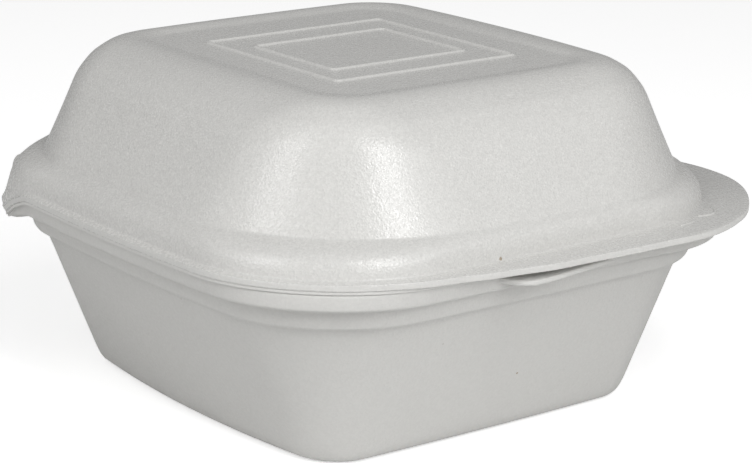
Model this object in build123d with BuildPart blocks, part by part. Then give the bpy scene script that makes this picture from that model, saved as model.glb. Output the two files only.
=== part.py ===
"""Hinged foam food container, closed: a stepped tray and a domed lid joined along the back by a folded band.

Millimetres. +X is the user's right, the opening side faces -Y and the hinge side faces +Y.
The origin is the centre of the tray's floor, on the surface that the tray stands on.
"""

import os
from math import cos, radians, sin

from build123d import *

# Foam sheet
sheet = 2.2              # wall thickness of tray and lid
draw = 1.08              # corner radius lost for each millimetre that a drafted wall moves inward

# Tray, up to the top of its drafted wall
mouth_half_x = 57.8      # half size at the top of the wall, at the corners of the outline
mouth_half_y = 63.2
mouth_corner = 24.4
side_crown = 4.1         # rise of the left and right sides at their middles
front_crown = 0.8        # rise of the front and back sides at their middles
wall_height = 35.4
wall_draft = 13.2        # how far the floor lies inside the mouth
floor_radius = 5.0

# Tray, the two steps and the rim above the wall
step_width = 2.4         # lower step
step_height = 5.4
step_lean = 1.2          # outward lean of the band above a step
step_corner = 27.4
ledge_width = 3.5        # upper step
ledge_height = 5.0
ledge_lean = 1.0
ledge_corner = 30.5
step_round = 1.1         # rounding of the steps' outer edges
rim_reach = 1.1          # rim beyond the band under it
rim_corner = 35.5
tray_rim = 0.8           # thickness of the pressed rim

# Lid
lid_rim = 1.5            # thickness of the pressed rim and lip
skirt_inset = 0.8        # foot of the skirt inside the rim's edge
skirt_height = 7.4       # from the rim to the bottom of the lid's wall
skirt_width = 4.2        # from the bottom of the wall out to the foot
skirt_swell = ((0.0, 0.0), (0.45, 0.12), (0.8, 0.45), (1.0, 1.0))  # its roll: shares of height, of width
foot_corner = 34.3
dome_corner = 42.0       # corner radius at the bottom of the wall
dome_crown = 2.9         # rise of the left and right sides of the dome
dome_draft = 14.3        # how far the top lies inside the bottom of the wall
dome_draw = 1.5          # corner radius lost for each millimetre of that draft
dome_height = 25.7
dome_radius = 14.0       # rounding between wall and top

# Pressed pattern in the lid's top
panel_half_x = 35.0
panel_half_y = 39.5
panel_corner = 9.0
panel_depth = 0.9
rib_width = 1.3
rib_rise = 0.5
rib_corner = 1.5
rib_inner_corner = 0.7
outer_rib_half = 26.0
inner_rib_half_x = 19.4
inner_rib_half_y = 16.2

# Lip at the lid's opening side, widest round its right-hand corner
lip_start_angle = 36     # degrees round the left corner, from straight ahead, where it leaves the rim
lip_rise = 2.0           # beyond the rim on its way out to the middle
lip_rise_inset = 40.0    # place of that, in from the rim's left side
lip_reach = 5.7          # beyond the rim at the middle of the front
lip_middle = 7.0         # place of that, right of the middle
lip_bend = 5.9           # beyond the rim where the right-hand corner starts
lip_corner = 8.0         # beyond the rim half way round the right-hand corner
lip_tab = 7.3            # beyond the rim on the right-hand side
lip_tab_front = 34.8     # place of that, forward of the middle
lip_sink = 0.4           # ends of the lip's edge inside the rim's edge

# Thumb catch under the middle of the lip
catch_half = 19.0        # half width of the tongue
catch_reach = 5.4        # beyond the upper step
catch_drop = 1.7         # gap between the rim plane and the tongue
catch_sheet = 1.2

# Hinge band
band_half = 50.0         # half length along the back
band_sheet = 1.2
band_bulge = 3.6         # how far the band stands out behind the rim
band_gap = 0.25          # between the band's ends and what they fold from
shelf_setback = 3.2      # back edge of the shelf that the band folds from, inside the rim's
shelf_drop = 11.0        # from the rim plane down to the shelf

# Heights that follow
step_bottom = wall_height
step_top = step_bottom + step_height
rim_plane = step_top + ledge_height
lip_top = rim_plane + lid_rim
wall_bottom = lip_top + skirt_height
lid_top = wall_bottom + dome_height

# Reaches beyond the mouth that follow
band_out = step_width + step_lean
ledge_out = band_out + ledge_width
ledge_top_out = ledge_out + ledge_lean
rim_out = ledge_top_out + rim_reach
foot_out = rim_out - skirt_inset
dome_out = foot_out - skirt_width

# Thickness of the dome's sloped wall measured level
dome_wall = sheet * (1 + (dome_draft / dome_height) ** 2) ** 0.5

rim_half_x = mouth_half_x + rim_out
rim_half_y = mouth_half_y + rim_out
rim_back = rim_half_y + front_crown
shelf_reach = rim_back - shelf_setback
shelf_root = mouth_half_y / 2   # inner end of the shelf, cut off with the tray's inside

# Level where the inner faces of skirt and dome meet
inner_wall_bottom = wall_bottom - sheet / 2


def outline(height, reach, corner, crown=side_crown):
    """The container's outline at a height: a rounded rectangle with arched sides, reach beyond the mouth."""
    half_x = mouth_half_x + reach
    half_y = mouth_half_y + reach
    with BuildSketch(Plane.XY.offset(height)) as ring:
        with BuildLine():
            ThreePointArc((half_x, -half_y), (half_x + crown, 0), (half_x, half_y))
            ThreePointArc((half_x, half_y), (0, half_y + front_crown), (-half_x, half_y))
            ThreePointArc((-half_x, half_y), (-half_x - crown, 0), (-half_x, -half_y))
            ThreePointArc((-half_x, -half_y), (0, -half_y - front_crown), (half_x, -half_y))
        make_face()
        fillet(ring.vertices(), radius=corner)
    return ring.sketch


def skirt_ring(height, share, inward):
    """One level of the rolled skirt, its share of the way in from foot to wall, less a wall thickness."""
    reach = foot_out - skirt_width * share - inward
    corner = foot_corner + (dome_corner - foot_corner) * share - inward
    return outline(height, reach, corner, side_crown + (dome_crown - side_crown) * share)


def rim_corner_point(side, degrees, beyond):
    """Point beyond the rim, round its front corner on a side (-1 left, 1 right), from straight ahead."""
    radius = rim_corner + beyond
    turn = radians(degrees)
    return (
        side * (rim_half_x - rim_corner + radius * sin(turn)),
        -rim_half_y + rim_corner - radius * cos(turn),
    )


def wall_reach(level):
    """How far the tray's wall lies beyond the mouth at a level, negative below it."""
    return -wall_draft * (1 - level / wall_height)


def tray_body(bottom, top, inward, floor_round):
    """The drafted wall with its rounded floor edge, moved inward for the inner face."""
    levels = [(level, wall_reach(level)) for level in (bottom, top)]
    with BuildPart() as body:
        loft(
            sections=[
                outline(level, reach - inward, mouth_corner + draw * reach - inward)
                for level, reach in levels
            ],
            ruled=True,
        )
        fillet(body.faces().sort_by(Axis.Z)[0].edges(), radius=floor_round)
    return body.part


def tray_band(bottom, top, reach, lean, corner, inward):
    """One of the two bands above a step, leaning outward to its top."""
    with BuildPart() as band:
        loft(
            sections=[
                outline(bottom, reach - inward, corner - inward),
                outline(top, reach + lean - inward, corner + lean - inward),
            ],
            ruled=True,
        )
        if inward == 0:
            fillet(band.faces().sort_by(Axis.Z)[0].edges(), radius=step_round)
    return band.part


def dome_reach(level):
    """How far the dome's wall lies beyond the mouth at a level."""
    return dome_out - dome_draft * (level - wall_bottom) / dome_height


def dome(bottom, top, inward, rounding):
    """Drafted wall and rounded top edge of the lid."""
    levels = [(level, dome_reach(level)) for level in (bottom, top)]
    with BuildPart() as body:
        loft(
            sections=[
                outline(
                    level,
                    reach - inward,
                    dome_corner - dome_draw * (dome_out - reach) - inward,
                    dome_crown,
                )
                for level, reach in levels
            ],
            ruled=True,
        )
        fillet(body.faces().sort_by(Axis.Z)[-1].edges(), radius=rounding)
    return body.part


def skirt(bottom, top, inward):
    """Rolled shoulder between the rim and the dome's wall."""
    with BuildPart() as body:
        loft(
            sections=[
                skirt_ring(bottom + (top - bottom) * rise, share, inward)
                for rise, share in skirt_swell
            ],
        )
    return body.part


def lid_hollow():
    """Space inside the lid, lowered under the pressed panel."""
    with BuildPart() as hollow:
        add(dome(inner_wall_bottom, lid_top - sheet, dome_wall, dome_radius - sheet))
        add(skirt(rim_plane, inner_wall_bottom, sheet))
        with BuildSketch(Plane.XY.offset(lid_top - sheet - panel_depth)):
            RectangleRounded(2 * (panel_half_x + sheet), 2 * (panel_half_y + sheet), panel_corner + sheet)
        extrude(amount=panel_depth, mode=Mode.SUBTRACT)
    return hollow.part


def rib_frame(half_x, half_y):
    """A raised square line pressed into the lid's panel."""
    with BuildSketch(Plane.XY.offset(lid_top - panel_depth)) as frame:
        RectangleRounded(2 * half_x, 2 * half_y, rib_corner)
        RectangleRounded(
            2 * (half_x - rib_width),
            2 * (half_y - rib_width),
            rib_inner_corner,
            mode=Mode.SUBTRACT,
        )
    return frame.sketch


# Tray
with BuildPart() as tray:
    add(tray_body(0, wall_height, 0, floor_radius))
    add(tray_band(step_bottom, step_top, step_width, step_lean, step_corner, 0))
    add(tray_band(step_top, rim_plane - tray_rim, ledge_out, ledge_lean, ledge_corner, 0))
    # Pressed rim, left out above the thumb catch
    with BuildSketch(Plane.XY.offset(rim_plane - tray_rim)):
        add(outline(0, rim_out, rim_corner))
        with Locations((0, -mouth_half_y - ledge_top_out)):
            Rectangle(
                2 * catch_half,
                rim_reach + front_crown,
                align=(Align.CENTER, Align.MAX),
                mode=Mode.SUBTRACT,
            )
    extrude(amount=tray_rim)
    # Tongue of the thumb catch
    with BuildSketch(Plane.XY.offset(rim_plane - catch_drop - catch_sheet)):
        with BuildLine():
            catch_back = -mouth_half_y - band_out
            catch_front = -mouth_half_y - ledge_out - catch_reach
            ThreePointArc((-catch_half, catch_back), (0, catch_front), (catch_half, catch_back))
            Line((catch_half, catch_back), (-catch_half, catch_back))
        make_face()
    extrude(amount=catch_sheet)
    # Shelf at the back that the hinge band folds from
    with BuildSketch(Plane.XY.offset(rim_plane - shelf_drop)):
        with Locations((0, shelf_reach)):
            Rectangle(2 * band_half, shelf_reach - shelf_root, align=(Align.CENTER, Align.MAX))
    extrude(amount=band_sheet)
    # Inside of the tray
    add(tray_body(sheet, wall_height + sheet, sheet, floor_radius - sheet), mode=Mode.SUBTRACT)
    add(
        tray_band(step_bottom + sheet, step_top + sheet, step_width, step_lean, step_corner, sheet),
        mode=Mode.SUBTRACT,
    )
    add(
        tray_band(step_top + sheet, rim_plane + sheet, ledge_out, ledge_lean, ledge_corner, sheet),
        mode=Mode.SUBTRACT,
    )
tray.part.label = "tray"

# Lid
with BuildPart() as lid:
    add(dome(wall_bottom, lid_top, 0, dome_radius))
    add(skirt(lip_top, wall_bottom, 0))
    # Pressed rim, with the lip at the front and the straight fold at the back
    with BuildSketch(Plane.XY.offset(rim_plane)):
        add(outline(0, rim_out, rim_corner))
        with BuildLine():
            lip_front = -rim_half_y - front_crown
            lip_start = rim_corner_point(-1, lip_start_angle, -lip_sink)
            lip_end = (rim_half_x + side_crown - lip_sink, 0)
            Spline(
                lip_start,
                (-rim_half_x + lip_rise_inset, lip_front - lip_rise),
                (lip_middle, lip_front - lip_reach),
                rim_corner_point(1, 0, lip_bend),
                rim_corner_point(1, 45, lip_corner),
                (rim_half_x + side_crown + lip_tab, -lip_tab_front),
                lip_end,
            )
            Polyline(lip_end, (0, 0), lip_start)
        make_face()
        with Locations((0, rim_back)):
            Rectangle(2 * band_half, rim_back - shelf_root, align=(Align.CENTER, Align.MAX))
    extrude(amount=lid_rim)
    add(lid_hollow(), mode=Mode.SUBTRACT)
    # Panel pressed into the top, with two raised square lines
    with BuildSketch(Plane.XY.offset(lid_top - panel_depth)):
        RectangleRounded(2 * panel_half_x, 2 * panel_half_y, panel_corner)
    extrude(amount=panel_depth, mode=Mode.SUBTRACT)
    extrude(rib_frame(outer_rib_half, outer_rib_half), amount=rib_rise)
    extrude(rib_frame(inner_rib_half_x, inner_rib_half_y), amount=rib_rise)
lid.part.label = "lid"

# Hinge band, folded into a C behind the container
with BuildPart() as hinge_band:
    with BuildSketch(Plane.YZ.offset(-band_half)):
        with BuildLine():
            half_band = band_sheet / 2
            fold_low = (shelf_reach + band_gap + half_band, rim_plane - shelf_drop + half_band)
            fold_out = (rim_back + band_bulge - half_band, rim_plane - shelf_drop / 2)
            fold_high = (rim_back + band_gap + half_band, rim_plane + lid_rim / 2)
            ThreePointArc(fold_low, fold_out, fold_high)
        trace(line_width=band_sheet)
    extrude(amount=2 * band_half)
hinge_band.part.label = "hinge_band"

os.makedirs("parts", exist_ok=True)
export_step(tray.part, "parts/tray.step")
export_step(lid.part, "parts/lid.step")
export_step(hinge_band.part, "parts/hinge_band.step")
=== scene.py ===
"""Foam clamshell container: the looks of its tray, lid and folded hinge, on a plain studio stage.

Metres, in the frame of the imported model: +Z up, the opening side with the lip faces -Y, the hinge side +Y.
Tray and lid are closed shells drawn ring by ring from rounded outlines: over the outer skin, round the cut
edge of the rim, and back along the inner skin. Their levels are in millimetres.
"""

import math
from typing import NamedTuple

import bmesh
import bpy
from mathutils import Matrix, Vector


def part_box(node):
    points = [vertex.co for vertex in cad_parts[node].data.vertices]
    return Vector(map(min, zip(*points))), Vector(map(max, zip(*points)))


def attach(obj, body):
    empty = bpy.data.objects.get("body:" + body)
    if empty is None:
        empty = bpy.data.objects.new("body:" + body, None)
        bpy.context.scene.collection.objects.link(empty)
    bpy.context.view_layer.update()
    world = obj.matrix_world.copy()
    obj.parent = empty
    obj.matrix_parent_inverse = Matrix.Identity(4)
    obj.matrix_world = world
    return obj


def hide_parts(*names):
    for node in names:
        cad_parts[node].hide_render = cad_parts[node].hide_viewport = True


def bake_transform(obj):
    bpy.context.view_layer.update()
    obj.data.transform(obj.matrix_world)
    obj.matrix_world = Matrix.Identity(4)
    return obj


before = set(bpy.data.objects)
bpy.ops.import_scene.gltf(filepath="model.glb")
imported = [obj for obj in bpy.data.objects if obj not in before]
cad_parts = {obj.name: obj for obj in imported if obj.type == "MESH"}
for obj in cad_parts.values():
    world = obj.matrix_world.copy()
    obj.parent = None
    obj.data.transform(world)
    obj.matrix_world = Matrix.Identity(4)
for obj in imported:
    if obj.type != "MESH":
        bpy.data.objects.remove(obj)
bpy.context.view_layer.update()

bl_info = {
    "name": "Foam Clamshell Container",
    "version": (1, 0, 0),
    "blender": (4, 5, 0),
    "location": "3D View > Sidebar > Foam Box",
    "description": "Builds the tray, lid and folded hinge of a foam food container, and a studio stage",
    "category": "Add Mesh",
}

MM = 0.001

# The hinge band's corners, then the band's half width and the lid's back edge in
# millimetres
BAND_LOW, BAND_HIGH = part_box("hinge_band")
BACK_HALF = BAND_HIGH.x / MM
BACK_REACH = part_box("lid")[1].y / MM

# The photograph's camera: where it looks, from where, and its focal length for an image this wide
PHOTO_WIDTH = 752
VIEW_TARGET = Vector((3.5, -2.6, 35.6)) * MM
VIEW_AZIMUTH = math.radians(-37.31)
VIEW_ELEVATION = math.radians(15.71)
VIEW_ROLL = math.radians(0.63)
VIEW_DISTANCE = 600.8 * MM
FOCAL_PIXELS = 2526.5
SHIFT_PIXELS = -1.27

# Points of a ring: along half a side, and round a corner
SIDE_STEPS = 8
CORNER_STEPS = 16
QUARTER = 2 * SIDE_STEPS + CORNER_STEPS
RING = 4 * QUARTER


class Level(NamedTuple):
    """One level of a shell: a rounded rectangle with arched sides, in millimetres.

    side_crown is how far the left and right sides arch out, and front_crown how far the front and back do.
    lip is the share of the lip's reach that the level takes, and skirt the share of the unevenness of the
    lid's skirt or the tray's upper step. Between two levels that have a cut of 1 lies a cut edge.
    """

    height: float
    half_x: float
    half_y: float
    corner: float
    side_crown: float = 0.0
    front_crown: float = 0.0
    lip: float = 0.0
    skirt: float = 0.0
    cut: int = 0


# Outlines that the levels start from
MOUTH = Level(35.4, 57.8, 63.2, 24.4, 4.1, 0.8)
RIM = Level(47.2, 67.0, 72.0, 36.5, 4.1, 0.8, lip=1.0)
TRAY_RIM = Level(45.8, 66.8, 71.8, 36.3, 4.1, 0.8)
FOOT = Level(47.75, 65.4, 70.2, 34.0, 4.1, 0.8, skirt=1.0)
WALL = Level(54.7, 62.4, 67.5, 42.1, 2.9, 0.8, skirt=0.2)
PANEL = Level(79.5, 35.0, 39.5, 9.0)
OUTER_LINE = Level(79.5, 25.8, 26.4, 1.6)
INNER_LINE = Level(79.5, 19.4, 16.2, 1.6)

# How much a corner tightens for each millimetre that the wall leans in
LID_CORNER_DRAFT = 1.51
TRAY_CORNER_DRAFT = 1.08

# The skirt's roll up to the lid's wall: share of the way in, and share of the rise
SKIRT_ROLL = ((0.07, 0.38), (0.22, 0.62), (0.50, 0.81), (0.84, 0.93), (0.97, 0.975))

# The lid's wall and shoulder: height, and how far in from the wall's foot
LID_WALL = (
    (58.5, 2.1),
    (65.0, 5.75),
    (70.4, 8.6),
    (71.9, 9.45),
    (73.4, 10.6),
    (75.6, 12.8),
    (76.5, 13.9),
    (77.0, 14.7),
    (78.1, 16.7),
    (79.4, 19.5),
)

# The raised border round the panel: how far in from the wall's foot, height, corner and share of the crown
BORDER = ((22.6, 80.15, 10.2, 0.8), (24.6, 80.2, 9.6, 0.5), (26.2, 79.9, 9.2, 0.2))

# Flat rings of the panel, outside its square lines and inside them: how far in, and corner
PANEL_RINGS = ((0.9, 8.4), (3.0, 6.5), (6.5, 4.0))
CENTRE_RINGS = ((2.6, 0.8), (4.0, 1.4), (6.0, 2.2), (9.0, 3.0))

# Section of a square line: how far out, 1 where it is raised, and corner where it isn't parallel
LINE_SECTION = (
    (0.6, 0, None),
    (0.2, 0, None),
    (-0.25, 1, None),
    (-0.65, 1, None),
    (-1.1, 0, 0.6),
    (-1.5, 0, 0.5),
    (-1.9, 0, 0.5),
)

# The tray's rounded floor edge, height and reach from the mouth, then the heights of its wall
FLOOR_EDGE = ((0.0, -19.0), (0.0, -16.7), (0.3, -14.6), (1.3, -13.0))
TRAY_WALL_HEIGHTS = (3.6, 8.0, 16.0, 27.0)

# How far the tray's wall leans out up to the mouth, and how far above the mouth its upper step lies
TRAY_LEAN = 13.2
STEP_RISE = 5.4

# Rounding of the cut edges, and the heights at which the inner skins of lid and tray stop short of their rims
EDGE_ROUND = 0.06
LID_INSIDE_FOOT = 49.0
TRAY_INSIDE_TOP = 43.4


def grown(level, reach, height, corner=None, crown=1.0):
    """The level moved outward by reach and to a new height, with its crowns scaled."""
    return level._replace(
        height=height,
        half_x=level.half_x + reach,
        half_y=level.half_y + reach,
        corner=level.corner + reach if corner is None else corner,
        side_crown=level.side_crown * crown,
        front_crown=level.front_crown * crown,
    )


def between(low, high, share, height):
    """A level that lies a share of the way from one level to another."""
    mixed = [a + (b - a) * share for a, b in zip(low, high)]
    return Level(height, *mixed[1:])


def place(level, turn):
    """Point of a level's outline; turn counts round the ring from the middle of the right side."""
    quarter, step = divmod(turn % RING, QUARTER)
    if quarter % 2:
        step = QUARTER - step
    flat_x = level.half_x - level.corner
    flat_y = level.half_y - level.corner
    if step <= SIDE_STEPS:
        x = level.half_x
        y = flat_y * step / SIDE_STEPS
    elif step < SIDE_STEPS + CORNER_STEPS:
        sweep = (step - SIDE_STEPS) / CORNER_STEPS * math.pi / 2
        x = flat_x + level.corner * math.cos(sweep)
        y = flat_y + level.corner * math.sin(sweep)
    else:
        x = flat_x * (QUARTER - step) / SIDE_STEPS
        y = level.half_y
    share_x = x / level.half_x
    share_y = y / level.half_y
    x += level.side_crown * (1 - share_y**2) * share_x**4
    y += level.front_crown * (1 - share_x**2) * share_y**4
    right = 1 if quarter in (0, 3) else -1
    back = 1 if quarter in (0, 1) else -1
    return Vector((right * x, back * y, level.height))


def outward(level, turn):
    """Direction straight out of a level's outline."""
    along = place(level, turn + 1) - place(level, turn - 1)
    return Vector((along.y, -along.x, 0)).normalized()


def eased(keys, value):
    """Value read from (place, value) pairs with a soft rise and fall between them."""
    if value <= keys[0][0]:
        return keys[0][1]
    for (start, low), (end, high) in zip(keys, keys[1:]):
        if value <= end:
            share = (value - start) / (end - start)
            return low + (high - low) * share * share * (3 - 2 * share)
    return keys[-1][1]


# How far the lip stands beyond the rim, by turn: from the near corner, along the front and round the right
# corner
LIP_REACH = (
    (84, 0),
    (88, 1.2),
    (91, 3.5),
    (95, 5.5),
    (102, 6.2),
    (108, 7.2),
    (112, 8.0),
    (117, 8.6),
    (120, 8.0),
    (123, 6.2),
    (127, 5.2),
    (136, 0),
)

# How far the skirt leaves an even outline at two of its corners, by turn
SKIRT_REACH = (
    (35, 0),
    (43, -1.6),
    (47, -0.4),
    (52, 1.5),
    (60, 0),
    (99, 0),
    (111, -1.3),
    (118, -3.1),
    (127, -2.4),
    (140, 0),
)

# How far the tray's upper step leaves an even outline at the right corner, and how far it hangs there
STEP_REACH = ((101, 0), (112, 1.4), (122, 0))
STEP_DROP = ((101, 0), (112, 0.8), (122, 0))

# The rims' ears beside the hinge, by turn round the back left corner: how far they droop and stand out,
# and the share of that which each height takes
EAR_DROP = ((42, 0), (44, 7.5), (47, 9.4), (49, 9.0), (51, 7.4), (53, 4.4), (54, 2.6), (56.2, 0))
EAR_REACH = ((42, 0), (44, 2.0), (48, 3.3), (50, 2.9), (52, 1.1), (54.5, 0))
LID_EAR_SHARE = ((47.3, 1.0), (48.2, 0.7), (50.0, 0.2), (52.0, 0))
LID_EAR_OUT = ((45.8, 0.55), (47.2, 0.85), (47.8, 1.0), (48.6, 0.6), (50.0, 0.15), (51.0, 0))
TRAY_EAR_SHARE = ((37.0, 0), (39.6, 0.3), (41.2, 0.62), (44.0, 1.0))
TRAY_EAR_OUT = ((39.6, 0), (41.2, 0.2), (44.0, 0.55), (45.8, 0.6))


class FoamBoxSizes(bpy.types.PropertyGroup):
    """Sizes that a user would change."""

    sheet: bpy.props.FloatProperty(
        name="Foam sheet",
        description="Thickness of the foam walls",
        default=2.2 * MM,
        unit="LENGTH",
        precision=4,
    )
    cut_edge: bpy.props.FloatProperty(
        name="Cut edge",
        description="Thickness of the lid's pressed rim",
        default=1.4 * MM,
        unit="LENGTH",
        precision=4,
    )
    tray_edge: bpy.props.FloatProperty(
        name="Tray edge",
        description="Thickness of the tray's pressed rim",
        default=0.8 * MM,
        unit="LENGTH",
        precision=4,
    )
    line_rise: bpy.props.FloatProperty(
        name="Line rise",
        description="Height of the square lines on the lid",
        default=0.45 * MM,
        unit="LENGTH",
        precision=5,
    )


class FoamBoxColours(bpy.types.PropertyGroup):
    """Colours that a user would change."""

    foam: bpy.props.FloatVectorProperty(
        name="Foam",
        description="Colour of the foam skin",
        subtype="COLOR",
        default=(0.66, 0.655, 0.635),
        min=0,
        max=1,
    )
    # Tray: the same foam as the lid, painted darker as shade on its walls, which lean out and face down away
    # from the lamps
    tray: bpy.props.FloatVectorProperty(
        name="Tray",
        description="Colour of the tray's skin",
        subtype="COLOR",
        default=(0.63, 0.625, 0.605),
        min=0,
        max=1,
    )
    edge: bpy.props.FloatVectorProperty(
        name="Cut edge",
        description="Colour of the pressed, cut edges",
        subtype="COLOR",
        default=(0.66, 0.655, 0.635),
        min=0,
        max=1,
    )
    floor: bpy.props.FloatVectorProperty(
        name="Floor",
        description="Colour of the studio floor",
        subtype="COLOR",
        default=(0.85, 0.85, 0.85),
        min=0,
        max=1,
    )


def sizes():
    """The container's sizes, as the scene holds them."""
    return bpy.context.scene.foam_box_sizes


def colours():
    """The container's colours, as the scene holds them."""
    return bpy.context.scene.foam_box_colours


# Shells

def ring_of(mesh, level, shift):
    """A first ring of vertices, drawn on a level's outline and numbered by turn."""
    turns = mesh.verts.layers.int.new("turn")
    made = bmesh.ops.create_circle(mesh, cap_ends=False, segments=RING, radius=1.0)
    for number, vert in enumerate(sorted(made["verts"], key=lambda v: math.atan2(v.co.y, v.co.x) % math.tau)):
        vert[turns] = number
        vert.co = shift(level, number) * MM
    return list({edge for vert in made["verts"] for edge in vert.link_edges})


def next_ring(mesh, edges, level, shift, cut):
    """Extrudes a ring of edges to the next level; cut is 1 for the faces of a cut edge."""
    turns = mesh.verts.layers.int["turn"]
    made = bmesh.ops.extrude_edge_only(mesh, edges=edges)["geom"]
    for vert in (item for item in made if isinstance(item, bmesh.types.BMVert)):
        vert.co = shift(level, vert[turns]) * MM
    for face in (item for item in made if isinstance(item, bmesh.types.BMFace)):
        face.material_index = cut
    return [item for item in made if isinstance(item, bmesh.types.BMEdge)]


def shell_mesh(levels, shift):
    """A closed shell through the levels, from the middle of the outer skin to that of the inner skin."""
    mesh = bmesh.new()
    first = ring_of(mesh, levels[0], shift)
    edges = first
    for before, level in zip(levels, levels[1:]):
        edges = next_ring(mesh, edges, level, shift, int(before.cut * level.cut))
    bmesh.ops.contextual_create(mesh, geom=first)
    bmesh.ops.contextual_create(mesh, geom=edges)
    bmesh.ops.recalc_face_normals(mesh, faces=mesh.faces[:])
    return mesh


def lined(levels):
    """Levels of a shell's inner skin, the foam's thickness in from the outer ones, which run upward."""
    sheet = sizes().sheet / MM
    inner = []
    for before, level, after in zip(levels, levels[1:], levels[2:]):
        run = after.half_x - before.half_x
        rise = after.height - before.height
        across, over = Vector((rise, -run)).normalized() * sheet
        inner.append(grown(level, -across, level.height - over, max(level.corner - across, 0.5)))
    return inner


def finished(name, mesh):
    """A new object from a bmesh, smooth shaded and linked to the scene."""
    data = bpy.data.meshes.new(name)
    mesh.to_mesh(data)
    mesh.free()
    data.shade_smooth()
    piece = bpy.data.objects.new(name, data)
    bpy.context.scene.collection.objects.link(piece)
    return piece


def baked(piece):
    """Makes the modifiers' result the piece's own mesh."""
    graph = bpy.context.evaluated_depsgraph_get()
    data = bpy.data.meshes.new_from_object(piece.evaluated_get(graph))
    piece.modifiers.clear()
    old = piece.data
    piece.data = data
    bpy.data.meshes.remove(old)
    data.name = piece.name
    return piece


def rounded(piece):
    """Rounds a shell by one subdivision and keeps the result as its mesh."""
    smooth = piece.modifiers.new("Smooth", "SUBSURF")
    smooth.levels = 1
    smooth.render_levels = 1
    smooth.use_limit_surface = False
    return baked(piece)


def wrapped(turn):
    """The turn counted on past the ring's start, for keys that run over it."""
    return QUARTER + (turn - QUARTER) % RING


def eared(level, turn, drops, outs):
    """A level's point, drooping and standing out at the ears, which are alike on both sides of the hinge."""
    spot = place(level, turn)
    left_turn = turn if turn > QUARTER else 2 * QUARTER - turn
    spot += outward(level, turn) * eased(outs, level.height) * eased(EAR_REACH, left_turn)
    spot.z -= eased(drops, level.height) * eased(EAR_DROP, left_turn)
    return spot


def lid_place(level, turn):
    """A lid level's point: the rim gets the lip, the ears and a straight back where the hinge folds."""
    spot = eared(level, turn, LID_EAR_SHARE, LID_EAR_OUT)
    reach = level.lip * eased(LIP_REACH, wrapped(turn)) + level.skirt * eased(SKIRT_REACH, wrapped(turn))
    spot += outward(level, turn) * reach
    if level.lip == 1 and abs(spot.x) < BACK_HALF and spot.y > 0:
        spot.y = BACK_REACH
    return spot


def lid_levels():
    """Levels of the lid: from the middle of its panel down to the rim's cut edge, and up again inside."""
    rise = sizes().line_rise / MM
    edge = sizes().cut_edge / MM
    skirt_rise = WALL.height - FOOT.height
    dome = [
        grown(FOOT, 0.1, FOOT.height - 0.03),
        grown(FOOT, 0.0, FOOT.height + 0.15),
        grown(FOOT, -0.1, FOOT.height + 0.7),
    ]
    dome += [between(FOOT, WALL, share, FOOT.height + climb * skirt_rise) for share, climb in SKIRT_ROLL]
    dome += [
        grown(WALL, -0.15, WALL.height + 0.3, 41.8),
        grown(WALL, -0.6, WALL.height + 1.1, 41.0),
    ]
    for height, inset in LID_WALL:
        dome.append(grown(WALL, -inset, height, WALL.corner - LID_CORNER_DRAFT * inset))
    border = [grown(WALL, -inset, height, corner, crown) for inset, height, corner, crown in BORDER]
    panel = [PANEL] + [grown(PANEL, -inset, PANEL.height, corner) for inset, corner in PANEL_RINGS]
    for line in (OUTER_LINE, INNER_LINE):
        for reach, raised, corner in LINE_SECTION:
            panel.append(grown(line, reach, line.height + raised * rise, corner))
    for inset, corner in CENTRE_RINGS:
        panel.append(grown(INNER_LINE, -inset, INNER_LINE.height, corner))
    outside = dome + border + panel
    inside = [level for level in lined(dome + border[:1]) if level.height > LID_INSIDE_FOOT]
    rim = [
        grown(RIM, -0.3, RIM.height + 0.08),
        grown(RIM, -EDGE_ROUND, RIM.height),
        grown(RIM, 0.0, RIM.height - EDGE_ROUND)._replace(cut=1),
        grown(RIM, 0.0, RIM.height - edge + EDGE_ROUND)._replace(cut=1),
        grown(RIM, -EDGE_ROUND, RIM.height - edge),
        grown(RIM, -0.5, RIM.height - edge),
        grown(FOOT, -1.6, RIM.height - edge)._replace(skirt=0.0),
        grown(FOOT, -2.3, RIM.height - edge + 0.6)._replace(skirt=0.0),
    ]
    ceiling = PANEL.height - sizes().sheet / MM
    return outside[::-1] + rim + inside + [grown(PANEL, -1, ceiling, 8.0), grown(PANEL, -18, ceiling, 4.0)]


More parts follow.
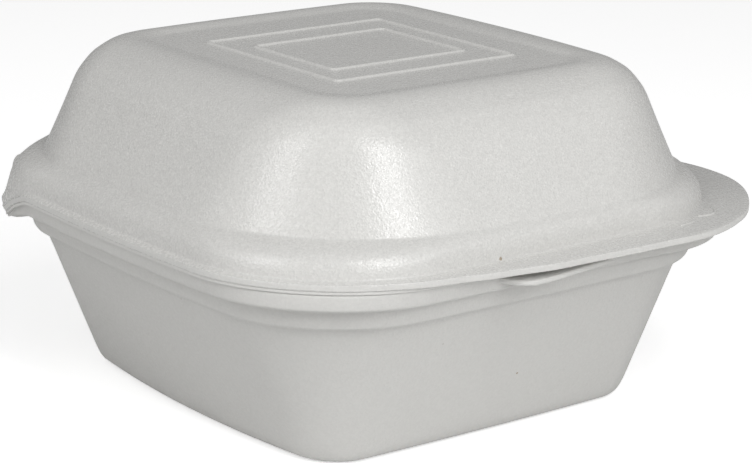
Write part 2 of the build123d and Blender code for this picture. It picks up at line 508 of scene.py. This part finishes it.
def tray_levels():
    """Levels of the tray: from the middle of its floor up over the two steps to the rim, and down inside."""
    edge = sizes().tray_edge / MM
    low = TRAY_RIM.height - edge
    shelf = MOUTH.height + STEP_RISE
    draft = TRAY_LEAN / MOUTH.height
    wall = [(height, -draft * (MOUTH.height - height)) for height in TRAY_WALL_HEIGHTS]
    outside = [grown(MOUTH, -36.0, 0.0, 3.0)]
    for height, reach in (*FLOOR_EDGE, *wall):
        outside.append(grown(MOUTH, reach, height, MOUTH.corner + TRAY_CORNER_DRAFT * reach))
    outside += [
        grown(MOUTH, -0.4, MOUTH.height - 1.2, 24.0),
        grown(MOUTH, 0.4, MOUTH.height - 0.1, 24.9),
        grown(MOUTH, 1.9, MOUTH.height + 0.25, 26.6),
        grown(MOUTH, 2.6, MOUTH.height + 0.6, 27.2),
        grown(MOUTH, 3.2, shelf - 1.2, 28.6),
        grown(MOUTH, 3.5, shelf - 0.4, 28.8),
        grown(MOUTH, 5.2, shelf, 29.6)._replace(skirt=0.7),
        grown(MOUTH, 6.9, shelf + 0.3, 30.8)._replace(skirt=1.0),
        grown(MOUTH, 7.2, shelf + 0.8, 31.2)._replace(skirt=0.9),
        grown(MOUTH, 7.6, low - 1.0, 32.5)._replace(skirt=0.5),
        grown(MOUTH, 7.9, low - 0.25, 33.5),
    ]
    inside = [level for level in lined(outside) if level.height < TRAY_INSIDE_TOP]
    rim = [
        grown(TRAY_RIM, -0.6, low),
        grown(TRAY_RIM, -EDGE_ROUND, low),
        grown(TRAY_RIM, 0.0, low + EDGE_ROUND)._replace(cut=1),
        grown(TRAY_RIM, 0.0, TRAY_RIM.height - EDGE_ROUND)._replace(cut=1),
        grown(TRAY_RIM, -EDGE_ROUND, TRAY_RIM.height),
        grown(TRAY_RIM, -0.6, TRAY_RIM.height),
        grown(MOUTH, 5.6, TRAY_RIM.height, 30.5),
        grown(MOUTH, 5.2, TRAY_RIM.height - 0.8, 30.0),
    ]
    floor = sizes().sheet / MM
    return outside + rim + inside[::-1] + [grown(MOUTH, -38.0, floor, 2.5)]


def tray_place(level, turn):
    """A tray level's point, with the ears on its rim and the upper step's right corner."""
    spot = eared(level, turn, TRAY_EAR_SHARE, TRAY_EAR_OUT)
    spot += outward(level, turn) * level.skirt * eased(STEP_REACH, turn)
    spot.z -= level.skirt * eased(STEP_DROP, turn)
    return spot


# Materials

# Finishes of the foam: roughness, strength of the grain, and how far the cells' tints spread
LID_FINISH = (0.26, 0.45, 0.045)
TRAY_FINISH = (0.55, 0.3, 0.02)
EDGE_FINISH = (0.6, 0.2, 0.03)
CATCH_FINISH = (0.5, 0.2, 0.02)
CREASE_FINISH = (0.35, 0.2, 0.03)
HINGE_FINISH = (0.45, 0.3, 0.02)

# Scales of the foam's cells, fine grain and slow waves, to the metre, and the detail of grain and waves
CELL_SCALE = 2100
FINE_SCALE = 1500
WAVE_SCALE = 55
NOISE_DETAIL = 3

# Depths of the grain and of the waves in metres, strength of the waves, and how far the gloss spreads
GRAIN_DEPTH = 0.0001
WAVE_DEPTH = 0.0008
WAVE_STRENGTH = 0.15
GLOSS_SPREAD = 0.3

# A mark's ragged outline: how far the grain pushes it in, its limit, both in radii, and its strength
MARK_RAGGED = 1.2
MARK_LIMIT = 1.4
MARK_STRENGTH = 0.75

# Specks of dirt: place and radius in millimetres, colour
BROWN = (0.30, 0.22, 0.13)
REDDISH = (0.42, 0.16, 0.12)
GREY = (0.40, 0.38, 0.35)
LID_MARKS = (((-15.3, -70.9, 48.1), 0.55, BROWN), ((-68.0, 39.6, 49.1), 0.35, REDDISH))
TRAY_MARKS = (
    ((2.6, -56.4, 15.0), 0.35, BROWN),
    ((-61.2, -17.4, 33.8), 0.25, GREY),
    ((-22.6, -61.1, 27.9), 0.22, GREY),
)


def principled(name, colour, roughness):
    """A material of one colour and roughness, and its shader."""
    material = bpy.data.materials.new(name)
    material.use_nodes = True
    nodes = material.node_tree.nodes
    shader = nodes["Principled BSDF"]
    shader.inputs["Base Color"].default_value = (*colour, 1)
    shader.inputs["Roughness"].default_value = roughness
    return material, shader


def math_node(nodes, links, operation, *values):
    """A Math node fed in turn by sockets and numbers; gives its result."""
    node = nodes.new("ShaderNodeMath")
    node.operation = operation
    for value, socket in zip(values, node.inputs):
        if isinstance(value, bpy.types.NodeSocket):
            links.new(value, socket)
        else:
            socket.default_value = value
    return node.outputs["Value"]


def foam_skin(name, colour, roughness, grain, speckle, marks=()):
    """Pressed foam skin: flattened cells under a thin film, paler and darker cell by cell, with a slow
    unevenness of the sheet; marks are small specks of dirt."""
    material, shader = principled(name, colour, roughness)
    nodes = material.node_tree.nodes
    links = material.node_tree.links
    place_in = nodes.new("ShaderNodeTexCoord").outputs["Object"]
    cells = nodes.new("ShaderNodeTexVoronoi")
    cells.inputs["Scale"].default_value = CELL_SCALE
    links.new(place_in, cells.inputs["Vector"])
    fine = nodes.new("ShaderNodeTexNoise")
    fine.inputs["Scale"].default_value = FINE_SCALE
    fine.inputs["Detail"].default_value = NOISE_DETAIL
    links.new(place_in, fine.inputs["Vector"])
    slow = nodes.new("ShaderNodeTexNoise")
    slow.inputs["Scale"].default_value = WAVE_SCALE
    slow.inputs["Detail"].default_value = NOISE_DETAIL
    links.new(place_in, slow.inputs["Vector"])
    tint = nodes.new("ShaderNodeMix")
    tint.data_type = "RGBA"
    tint.inputs["A"].default_value = (*(part * (1 - speckle) for part in colour), 1)
    tint.inputs["B"].default_value = (*(part * (1 + speckle) for part in colour), 1)
    single = nodes.new("ShaderNodeSeparateColor")
    links.new(cells.outputs["Color"], single.inputs["Color"])
    links.new(single.outputs["Red"], tint.inputs["Factor"])
    shade = tint.outputs["Result"]
    for spot, radius, stain in marks:
        away = nodes.new("ShaderNodeVectorMath")
        away.operation = "DISTANCE"
        away.inputs[1].default_value = Vector(spot) * MM
        links.new(place_in, away.inputs[0])
        push = MARK_RAGGED * radius * MM
        ragged = math_node(nodes, links, "MULTIPLY_ADD", fine.outputs["Fac"], push, away.outputs["Value"])
        inside = math_node(nodes, links, "LESS_THAN", ragged, MARK_LIMIT * radius * MM)
        share = math_node(nodes, links, "MULTIPLY", inside, MARK_STRENGTH)
        dirt = nodes.new("ShaderNodeMix")
        dirt.data_type = "RGBA"
        dirt.inputs["B"].default_value = (*stain, 1)
        links.new(share, dirt.inputs["Factor"])
        links.new(shade, dirt.inputs["A"])
        shade = dirt.outputs["Result"]
    links.new(shade, shader.inputs["Base Color"])
    gloss = nodes.new("ShaderNodeMapRange")
    gloss.inputs["To Min"].default_value = roughness * (1 - GLOSS_SPREAD)
    gloss.inputs["To Max"].default_value = roughness * (1 + GLOSS_SPREAD)
    links.new(single.outputs["Green"], gloss.inputs["Value"])
    links.new(gloss.outputs["Result"], shader.inputs["Roughness"])
    bend = None
    for height, strength, distance in (
        (cells.outputs["Distance"], grain, GRAIN_DEPTH),
        (fine.outputs["Fac"], grain, GRAIN_DEPTH),
        (slow.outputs["Fac"], WAVE_STRENGTH, WAVE_DEPTH),
    ):
        bump = nodes.new("ShaderNodeBump")
        bump.inputs["Strength"].default_value = strength
        bump.inputs["Distance"].default_value = distance
        links.new(height, bump.inputs["Height"])
        if bend:
            links.new(bend, bump.inputs["Normal"])
        bend = bump.outputs["Normal"]
    links.new(bend, shader.inputs["Normal"])
    return material


# Pieces

class FOAMBOX_OT_lid(bpy.types.Operator):
    """Adds the lid: lip, rolled skirt, domed wall and pressed panel"""

    bl_idname = "foambox.lid"
    bl_label = "Add lid"

    def execute(self, context):
        piece = finished("lid_shell", shell_mesh(lid_levels(), lid_place))
        piece.data.materials.append(foam_skin("lid foam skin", colours().foam, *LID_FINISH, LID_MARKS))
        piece.data.materials.append(foam_skin("lid cut edge", colours().edge, *EDGE_FINISH))
        rounded(piece)
        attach(piece, "lid")
        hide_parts("lid")
        return {"FINISHED"}


class FOAMBOX_OT_tray(bpy.types.Operator):
    """Adds the tray: rim, two steps, drafted wall and floor"""

    bl_idname = "foambox.tray"
    bl_label = "Add tray"

    def execute(self, context):
        piece = finished("tray_shell", shell_mesh(tray_levels(), tray_place))
        # The tray's skin is the lid's foam painted darker, as shade on the tray's downward-facing walls
        piece.data.materials.append(foam_skin("tray foam skin with painted shade", colours().tray, *TRAY_FINISH, TRAY_MARKS))
        piece.data.materials.append(foam_skin("tray cut edge", colours().edge, *EDGE_FINISH))
        rounded(piece)
        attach(piece, "tray")
        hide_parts("tray")
        return {"FINISHED"}


# The tongue's outline seen from above: it stands out most towards the near corner
CATCH_OUTLINE = (
    (-18.0, -66.0),
    (-16.0, -72.0),
    (-12.4, -77.4),
    (-5.0, -77.2),
    (1.5, -76.0),
    (16.1, -73.6),
    (21.0, -66.0),
)

# The tongue's underside, thickness, and how far front its rounded corners start, in millimetres
CATCH_LOW = 42.9
CATCH_SHEET = 1.2
CATCH_FRONT = -69

# Roundings of its corners and edges in millimetres, and the angle in radians from which an edge is sharp
CATCH_CORNER = 2.4
CATCH_ROUND = 0.4
SHARP_ANGLE = 1


class FOAMBOX_OT_catch(bpy.types.Operator):
    """Adds the thumb catch, a tongue on the front of the tray under the lip"""

    bl_idname = "foambox.catch"
    bl_label = "Add thumb catch"

    def execute(self, context):
        mesh = bmesh.new()
        corners = [mesh.verts.new(Vector((x, y, CATCH_LOW)) * MM) for x, y in CATCH_OUTLINE]
        mesh.faces.new(corners)
        front = [corner for corner in corners if corner.co.y < CATCH_FRONT * MM]
        bmesh.ops.bevel(
            mesh,
            geom=front,
            offset=CATCH_CORNER * MM,
            affect="VERTICES",
            segments=6,
            profile=0.5,
            material=-1,
        )
        raised = bmesh.ops.extrude_face_region(mesh, geom=mesh.faces[:])["geom"]
        lifted = [item for item in raised if isinstance(item, bmesh.types.BMVert)]
        bmesh.ops.translate(mesh, verts=lifted, vec=(0, 0, CATCH_SHEET * MM))
        bmesh.ops.recalc_face_normals(mesh, faces=mesh.faces[:])
        sharp = [edge for edge in mesh.edges if edge.calc_face_angle(0) > SHARP_ANGLE]
        bmesh.ops.bevel(
            mesh,
            geom=sharp,
            offset=CATCH_ROUND * MM,
            offset_type="OFFSET",
            affect="EDGES",
            segments=3,
            profile=0.5,
            material=-1,
        )
        piece = finished("thumb_catch", mesh)
        piece.data.materials.append(foam_skin("catch foam skin", colours().edge, *CATCH_FINISH))
        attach(piece, "tray")
        return {"FINISHED"}


# Creases on top of the lip: centre, radius, first angle and sweep in degrees, all seen from above
LIP_CREASES = (((46.8, -64.2), 5.3, -120, 112), ((34.0, -52.0), 20.5, -86, 15))

# Half a crease's width in millimetres, its sides and steps, and in metres how near doubled points lie
CREASE_RADIUS = 0.3
CREASE_SIDES = 10
CREASE_STEPS = 24
DOUBLE_DISTANCE = 0.00001


class FOAMBOX_OT_creases(bpy.types.Operator):
    """Adds the small raised creases on top of the lip, by the right corner"""

    bl_idname = "foambox.creases"
    bl_label = "Add lip creases"

    def execute(self, context):
        mesh = bmesh.new()
        for (x, y), radius, start, sweep in LIP_CREASES:
            centre = Vector((x, y, RIM.height + CREASE_RADIUS)) * MM
            heading = Matrix.Rotation(math.radians(start), 4, "Z")
            upright = Matrix.Rotation(math.pi / 2, 4, "X")
            away = Matrix.Translation((radius * MM, 0, 0))
            made = bmesh.ops.create_circle(
                mesh,
                cap_ends=True,
                segments=CREASE_SIDES,
                radius=CREASE_RADIUS * MM,
                matrix=Matrix.Translation(centre) @ heading @ away @ upright,
            )
            whole = list({face for vert in made["verts"] for face in vert.link_faces})
            bmesh.ops.spin(
                mesh,
                geom=whole,
                cent=centre,
                axis=(0, 0, 1),
                angle=math.radians(sweep),
                steps=CREASE_STEPS,
                use_duplicate=False,
            )
        bmesh.ops.remove_doubles(mesh, verts=mesh.verts[:], dist=DOUBLE_DISTANCE)
        bmesh.ops.recalc_face_normals(mesh, faces=mesh.faces[:])
        piece = finished("lip_creases", mesh)
        piece.data.materials.append(foam_skin("crease foam skin", colours().foam, *CREASE_FINISH))
        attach(piece, "lid")
        return {"FINISHED"}


# The hinge's fold: points round its bend, steps along it, and its foam's thickness
BEND_STEPS = 20
BAND_STEPS = 24
BAND_SHEET = 1.2 * MM

# The first length of the flap below the bend, whose edge then goes to the middle of the tray's wall, how deep
# in millimetres that lies, and how far the bend stays inside the frame's band, above and below and in front
FLAP = 6 * MM
FLAP_DEPTH = 1.0
BAND_CLEAR = 0.4 * MM
BAND_FRONT = 0.6 * MM


def tray_back(x):
    """How far back the middle of the tray's wall lies at the hinge's foot, at one x."""
    beyond = max(abs(x) / MM - (MOUTH.half_x - MOUTH.corner), 0)
    return (MOUTH.half_y - MOUTH.corner + math.sqrt(MOUTH.corner**2 - beyond**2) - FLAP_DEPTH) * MM


class FOAMBOX_OT_hinge(bpy.types.Operator):
    """Adds the foam band that folds from the tray to the lid along the back"""

    bl_idname = "foambox.hinge"
    bl_label = "Add hinge band"

    def execute(self, context):
        half = BAND_HIGH.x
        low = BAND_LOW.z
        high = BAND_HIGH.z
        middle = (low + high) / 2
        tall = (high - low) / 2 - BAND_CLEAR
        inner = BAND_LOW.y + BAND_FRONT
        deep = BAND_HIGH.y - inner
        mesh = bmesh.new()
        points = [mesh.verts.new((-half, inner - FLAP, middle - tall))]
        for step in range(BEND_STEPS + 1):
            sweep = -math.pi / 2 + math.pi * step / BEND_STEPS
            spot = (-half, inner + deep * math.cos(sweep), middle + tall * math.sin(sweep))
            points.append(mesh.verts.new(spot))
        edges = [mesh.edges.new(pair) for pair in zip(points, points[1:])]
        for _ in range(BAND_STEPS):
            made = bmesh.ops.extrude_edge_only(mesh, edges=edges)["geom"]
            moved = [item for item in made if isinstance(item, bmesh.types.BMVert)]
            bmesh.ops.translate(mesh, verts=moved, vec=(2 * half / BAND_STEPS, 0, 0))
            edges = [item for item in made if isinstance(item, bmesh.types.BMEdge)]
        for vert in mesh.verts:
            if vert.co.y < inner - FLAP / 2:
                vert.co.y = tray_back(vert.co.x)
        bmesh.ops.recalc_face_normals(mesh, faces=mesh.faces[:])
        if sum(face.normal.y for face in mesh.faces) < 0:
            bmesh.ops.reverse_faces(mesh, faces=mesh.faces[:])
        bmesh.ops.solidify(mesh, geom=mesh.faces[:], thickness=BAND_SHEET)
        piece = finished("hinge_fold", mesh)
        piece.data.materials.append(foam_skin("hinge foam skin", colours().foam, *HINGE_FINISH))
        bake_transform(piece)
        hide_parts("hinge_band")
        return {"FINISHED"}


# Stage

# Name, azimuth and elevation in degrees, distance and size in metres, watts
LAMPS = (
    ("right softbox", -10, 36, 0.9, (0.15, 0.60), 3.5),
    ("left softbox", -82, 36, 0.9, (0.15, 0.60), 2.0),
    ("right fill", 12, 24, 1.2, (0.9, 0.4), 2.0),
    ("left fill", -100, 24, 1.2, (0.9, 0.4), 0.5),
)
# Strength of the surround's light, what the camera sees of the floor on top of its lit colour, and the
# floor's half width in metres and its roughness
SURROUND_LIGHT = 0.285
FLOOR_LIFT = 0.55
FLOOR_HALF = 3.0
FLOOR_ROUGHNESS = 0.9


def direction(azimuth, elevation):
    """The way from the container to a lamp or camera; azimuth 0 is straight in front of it, at -Y."""
    flat = math.cos(elevation)
    return Vector((math.sin(azimuth) * flat, -math.cos(azimuth) * flat, math.sin(elevation)))


def soft_lamp(name, azimuth, elevation, distance, size, power):
    """A rectangular soft lamp that looks at the container."""
    data = bpy.data.lights.new(name, "AREA")
    data.shape = "RECTANGLE"
    data.size = size[0]
    data.size_y = size[1]
    data.energy = power
    lamp = bpy.data.objects.new(name, data)
    bpy.context.scene.collection.objects.link(lamp)
    back = direction(math.radians(azimuth), math.radians(elevation))
    lamp.location = VIEW_TARGET + back * distance
    lamp.rotation_mode = "QUATERNION"
    lamp.rotation_quaternion = back.to_track_quat("Z", "Y")
    lamp.visible_camera = False
    return lamp


class FOAMBOX_OT_stage(bpy.types.Operator):
    """Adds the floor, the soft lamps, the white surround and the photograph's camera"""

    bl_idname = "foambox.stage"
    bl_label = "Add studio stage"

    def execute(self, context):
        self.camera(context.scene)
        self.floor()
        self.surround(context.scene)
        for lamp in LAMPS:
            soft_lamp(*lamp)
        context.scene.view_settings.view_transform = "Standard"
        return {"FINISHED"}

    def camera(self, scene):
        """Sets up the photograph's camera."""
        back = direction(VIEW_AZIMUTH, VIEW_ELEVATION)
        right = Vector((math.cos(VIEW_AZIMUTH), math.sin(VIEW_AZIMUTH), 0))
        up = back.cross(right)
        rolled_right = right * math.cos(VIEW_ROLL) + up * math.sin(VIEW_ROLL)
        rolled_up = up * math.cos(VIEW_ROLL) - right * math.sin(VIEW_ROLL)
        data = bpy.data.cameras.new("photo camera")
        data.sensor_width = 36
        data.lens = data.sensor_width * FOCAL_PIXELS / PHOTO_WIDTH
        data.shift_y = SHIFT_PIXELS / PHOTO_WIDTH
        camera = bpy.data.objects.new("photo camera", data)
        scene.collection.objects.link(camera)
        turned = Matrix((rolled_right, rolled_up, back)).transposed()
        camera.matrix_world = Matrix.Translation(VIEW_TARGET + back * VIEW_DISTANCE) @ turned.to_4x4()
        scene.camera = camera

    def floor(self):
        """Lays the floor, which the camera sees as paler than the lamps alone make it."""
        mesh = bmesh.new()
        bmesh.ops.create_grid(mesh, x_segments=1, y_segments=1, size=FLOOR_HALF)
        piece = finished("studio_floor", mesh)
        material, shader = principled("studio floor", colours().floor, FLOOR_ROUGHNESS)
        shader.inputs["Specular IOR Level"].default_value = 0
        nodes = material.node_tree.nodes
        links = material.node_tree.links
        path = nodes.new("ShaderNodeLightPath")
        glow = nodes.new("ShaderNodeEmission")
        glow.inputs["Color"].default_value = (1, 1, 1, 1)
        lift = math_node(nodes, links, "MULTIPLY", path.outputs["Is Camera Ray"], FLOOR_LIFT)
        links.new(lift, glow.inputs["Strength"])
        both = nodes.new("ShaderNodeAddShader")
        links.new(shader.outputs["BSDF"], both.inputs[0])
        links.new(glow.outputs["Emission"], both.inputs[1])
        links.new(both.outputs["Shader"], nodes["Material Output"].inputs["Surface"])
        piece.data.materials.append(material)

    def surround(self, scene):
        """Lights the scene evenly from all sides, and shows the camera plain white."""
        world = bpy.data.worlds.new("white surround")
        world.use_nodes = True
        scene.world = world
        nodes = world.node_tree.nodes
        links = world.node_tree.links
        path = nodes.new("ShaderNodeLightPath")
        strength = nodes.new("ShaderNodeMix")
        strength.inputs["A"].default_value = SURROUND_LIGHT
        strength.inputs["B"].default_value = 1.0
        links.new(path.outputs["Is Camera Ray"], strength.inputs["Factor"])
        shade = nodes["Background"]
        shade.inputs["Color"].default_value = (1, 1, 1, 1)
        links.new(strength.outputs["Result"], shade.inputs["Strength"])


class FOAMBOX_PT_panel(bpy.types.Panel):
    """Lists the container's pieces and its sizes"""

    bl_idname = "FOAMBOX_PT_panel"
    bl_label = "Foam Box"
    bl_space_type = "VIEW_3D"
    bl_region_type = "UI"
    bl_category = "Foam Box"

    def draw(self, context):
        for operator in PIECES:
            self.layout.operator(operator.bl_idname)
        for group in (context.scene.foam_box_sizes, context.scene.foam_box_colours):
            for name in group.__annotations__:
                self.layout.prop(group, name)


PIECES = (
    FOAMBOX_OT_tray,
    FOAMBOX_OT_catch,
    FOAMBOX_OT_lid,
    FOAMBOX_OT_creases,
    FOAMBOX_OT_hinge,
    FOAMBOX_OT_stage,
)
CLASSES = (FoamBoxSizes, FoamBoxColours, *PIECES, FOAMBOX_PT_panel)


def register():
    for one in CLASSES:
        bpy.utils.register_class(one)
    bpy.types.Scene.foam_box_sizes = bpy.props.PointerProperty(type=FoamBoxSizes)
    bpy.types.Scene.foam_box_colours = bpy.props.PointerProperty(type=FoamBoxColours)


def unregister():
    del bpy.types.Scene.foam_box_colours
    del bpy.types.Scene.foam_box_sizes
    for one in reversed(CLASSES):
        bpy.utils.unregister_class(one)


def main():
    """Builds every piece and the stage."""
    register()
    bpy.ops.foambox.tray()
    bpy.ops.foambox.catch()
    bpy.ops.foambox.lid()
    bpy.ops.foambox.creases()
    bpy.ops.foambox.hinge()
    bpy.ops.foambox.stage()


if __name__ == "__main__":
    main()
